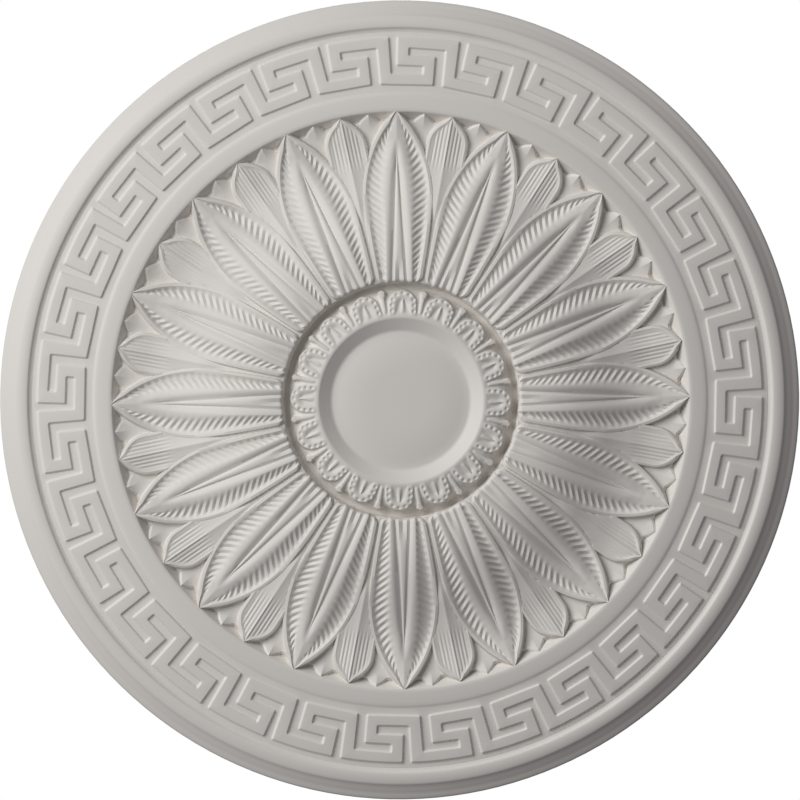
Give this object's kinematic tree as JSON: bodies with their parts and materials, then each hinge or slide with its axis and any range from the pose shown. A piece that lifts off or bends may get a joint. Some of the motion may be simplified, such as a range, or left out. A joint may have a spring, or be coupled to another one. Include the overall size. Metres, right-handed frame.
{
  "type": "ceiling rose",
  "caption": "Round moulded ceiling rose with a Greek key border, a ring of veined leaves and a scalloped collar round a sunk disc; its flat back is glued or screwed to a ceiling.",
  "frame": {"origin": "centre of the flat back, on the ceiling's surface", "axes": "+Z out of the back, up into the ceiling; the ornament faces down, -Z; the top leaf of the picture points to -Y"},
  "size_m": [0.508, 0.508, 0.0381],
  "materials": {
    "painted_foam": "factory-primed matte white polyurethane foam"
  },
  "bodies": {
    "root": {"ceiling_rose": "painted_foam"}
  },
  "joints": []
}
